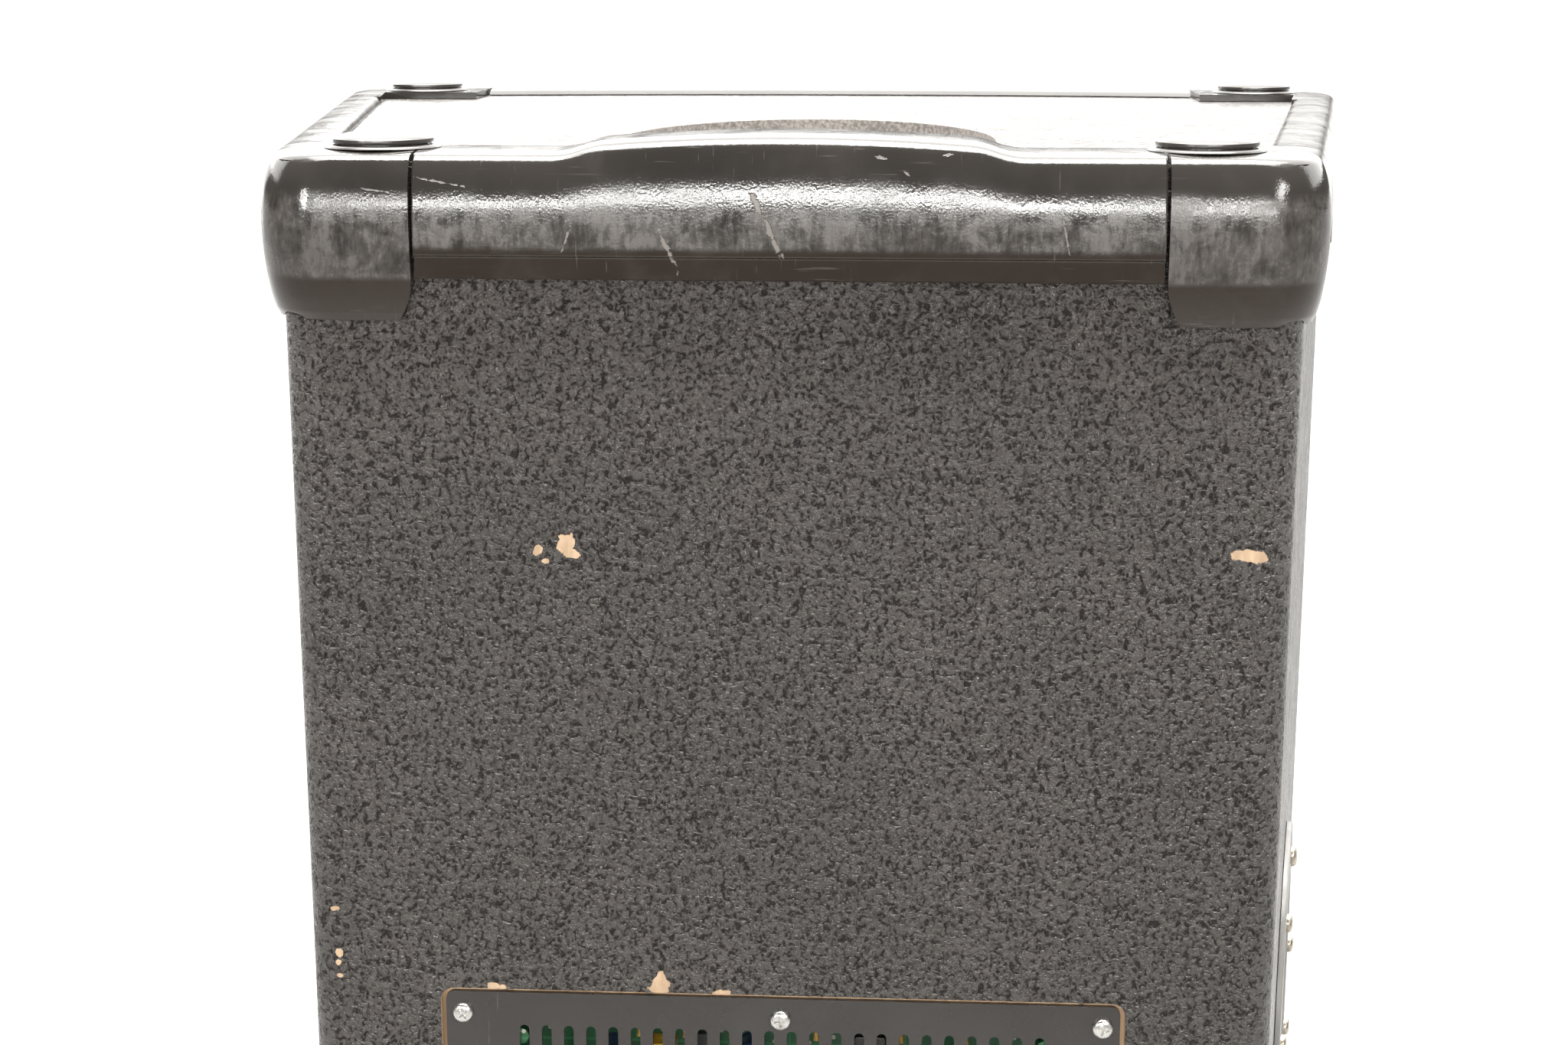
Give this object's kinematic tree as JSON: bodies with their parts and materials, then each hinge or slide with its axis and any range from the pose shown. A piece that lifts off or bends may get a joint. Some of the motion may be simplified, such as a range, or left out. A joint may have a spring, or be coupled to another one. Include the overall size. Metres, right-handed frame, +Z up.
{
  "type": "pa speaker cabinet",
  "caption": "Splayed wooden active PA speaker cabinet with moulded end frames, carry bar, curved perforated grille, flush side handles and a rear amplifier plate.",
  "frame": {"origin": "On the floor, under the middle of the bounding box", "axes": "+Z up; the grille faces -Y and the amplifier plate faces +Y; +X is to the right as seen from the grille side"},
  "size_m": [0.5254, 0.495, 0.7606],
  "materials": {
    "box_paint": "Black textured spatter paint over plywood, warm grey in strong light, with pale chips on the edges",
    "box_inside": "Plywood with a flat black wash",
    "moulding": "Satin-gloss black moulded plastic, scuffed and scratched",
    "cup_moulding": "Matt black moulded plastic",
    "rubber": "Smooth dark rubber",
    "grille": "Perforated steel, black powder coat",
    "black_metal": "Black satin enamel on sheet steel",
    "handle_metal": "Grey powder-coated metal",
    "magnet": "Dark ferrite and blackened steel",
    "spider": "Impregnated woven disc",
    "surround": "Treated black cloth",
    "cone": "Black treated paper",
    "horn": "Black moulded horn",
    "board": "Green circuit board",
    "aluminium": "Extruded aluminium",
    "transformer": "Copper windings under dark tape",
    "socket": "Black moulded connector",
    "knob": "Black control knob",
    "rocker": "Glossy black rocker",
    "bare_wood": "Bare plywood at the routed rebate and the paint chips",
    "zinc": "Bright zinc-plated steel screws"
  },
  "bodies": {
    "cabinet": {"top_panel": "box_paint", "bottom_panel": "box_paint", "side_panel_left": "box_paint", "side_panel_right": "box_paint", "rear_panel": "box_paint", "front_baffle": "box_inside", "shelf_brace": "box_inside", "finger_cup": "cup_moulding", "top_handle_bar": "moulding", "top_front_bar": "moulding", "top_rail_left": "moulding", "top_rear_cap_left": "moulding", "top_front_cap_left": "moulding", "top_foot_rear_left": "rubber", "top_foot_front_left": "rubber", "top_rail_right": "moulding", "top_rear_cap_right": "moulding", "top_front_cap_right": "moulding", "top_foot_rear_right": "rubber", "top_foot_front_right": "rubber", "bottom_rear_bar": "moulding", "bottom_front_bar": "moulding", "bottom_rail_left": "moulding", "bottom_rear_cap_left": "moulding", "bottom_front_cap_left": "moulding", "bottom_foot_rear_left": "rubber", "bottom_foot_front_left": "rubber", "bottom_rail_right": "moulding", "bottom_rear_cap_right": "moulding", "bottom_front_cap_right": "moulding", "bottom_foot_rear_right": "rubber", "bottom_foot_front_right": "rubber", "front_grille": "grille", "grille_channel_left": "black_metal", "grille_channel_right": "black_metal", "woofer_frame": "black_metal", "amp_plate": "black_metal", "pole_socket": "black_metal", "woofer_magnet": "magnet", "compression_driver": "magnet", "woofer_spider": "spider", "woofer_surround": "surround", "horn": "horn", "port_tube_left": "moulding", "port_tube_right": "moulding", "amp_circuit_board": "board", "amp_heatsink": "aluminium", "power_transformer": "transformer", "input_socket": "socket", "link_socket": "socket", "mains_inlet": "socket", "switch_housing": "socket", "side_handle_left": "handle_metal", "side_handle_right": "handle_metal"},
    "cone_assembly": {"woofer_cone": "cone", "dust_cap": "cone"},
    "level_knob": {"level_knob": "knob"},
    "tone_knob": {"tone_knob": "knob"},
    "contour_button": {"contour_button": "knob"},
    "power_rocker": {"switch_rocker": "rocker"}
  },
  "joints": [
    {"name": "cone_travel", "type": "slide", "parent": "cabinet", "child": "cone_assembly", "axis": [0, -1, 0], "range_m": [-0.008, 0.008], "stiffness_N_per_m": 4000},
    {"name": "level_knob_turn", "type": "hinge", "parent": "cabinet", "child": "level_knob", "pos_m": [-0.0755, 0.2385, 0.3321], "axis": [0, 1, 0], "range_deg": [-150, 150]},
    {"name": "tone_knob_turn", "type": "hinge", "parent": "cabinet", "child": "tone_knob", "pos_m": [-0.0355, 0.2385, 0.3321], "axis": [0, 1, 0], "range_deg": [-150, 150]},
    {"name": "contour_button_press", "type": "slide", "parent": "cabinet", "child": "contour_button", "axis": [0, -1, 0], "range_m": [0, 0.002], "stiffness_N_per_m": 400},
    {"name": "power_rocker_tip", "type": "hinge", "parent": "cabinet", "child": "power_rocker", "pos_m": [0.0355, 0.2385, 0.1101], "axis": [0, 0, 1], "range_deg": [0, 18]}
  ]
}
